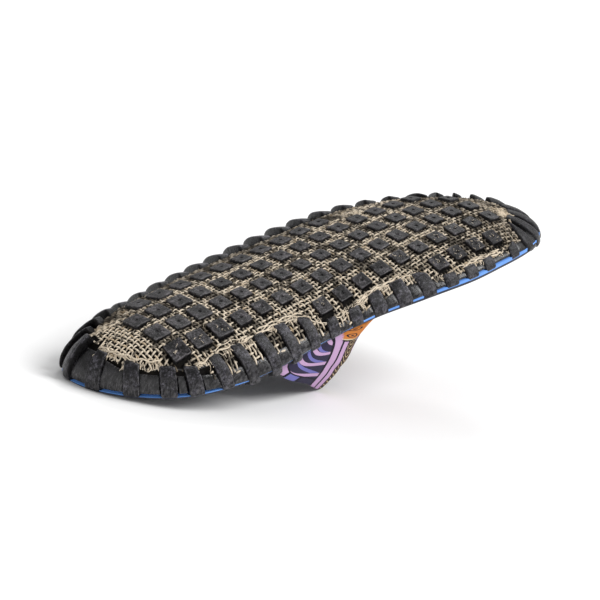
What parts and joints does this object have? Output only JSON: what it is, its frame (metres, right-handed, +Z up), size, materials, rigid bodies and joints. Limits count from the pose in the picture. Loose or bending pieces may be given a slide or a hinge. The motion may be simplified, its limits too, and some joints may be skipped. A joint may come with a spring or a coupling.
{
  "type": "toe post sandal",
  "caption": "Right-foot toe post sandal with a crowned rubber sole of square lugs and rim ribs, a foam footbed and a forked canvas strap.",
  "frame": {"origin": "middle of the floor area under the sandal as it lies sole up", "axes": "+X from heel to toe along the floor, +Z up from the floor to the tread, +Y to the side that completes a right-handed frame, which is the lateral edge of this right shoe"},
  "size_m": [0.2704, 0.1002, 0.0979],
  "materials": {
    "sole_rubber": "black moulded rubber, satin, with woven jute let into the tread",
    "footbed_foam": "light blue closed-cell foam, matt",
    "strap_canvas": "printed cotton canvas, matt",
    "post_canvas": "printed cotton canvas, rolled, matt"
  },
  "bodies": {
    "root": {"outsole": "sole_rubber", "footbed": "footbed_foam", "strap": "strap_canvas", "toe_post": "post_canvas"}
  },
  "joints": []
}
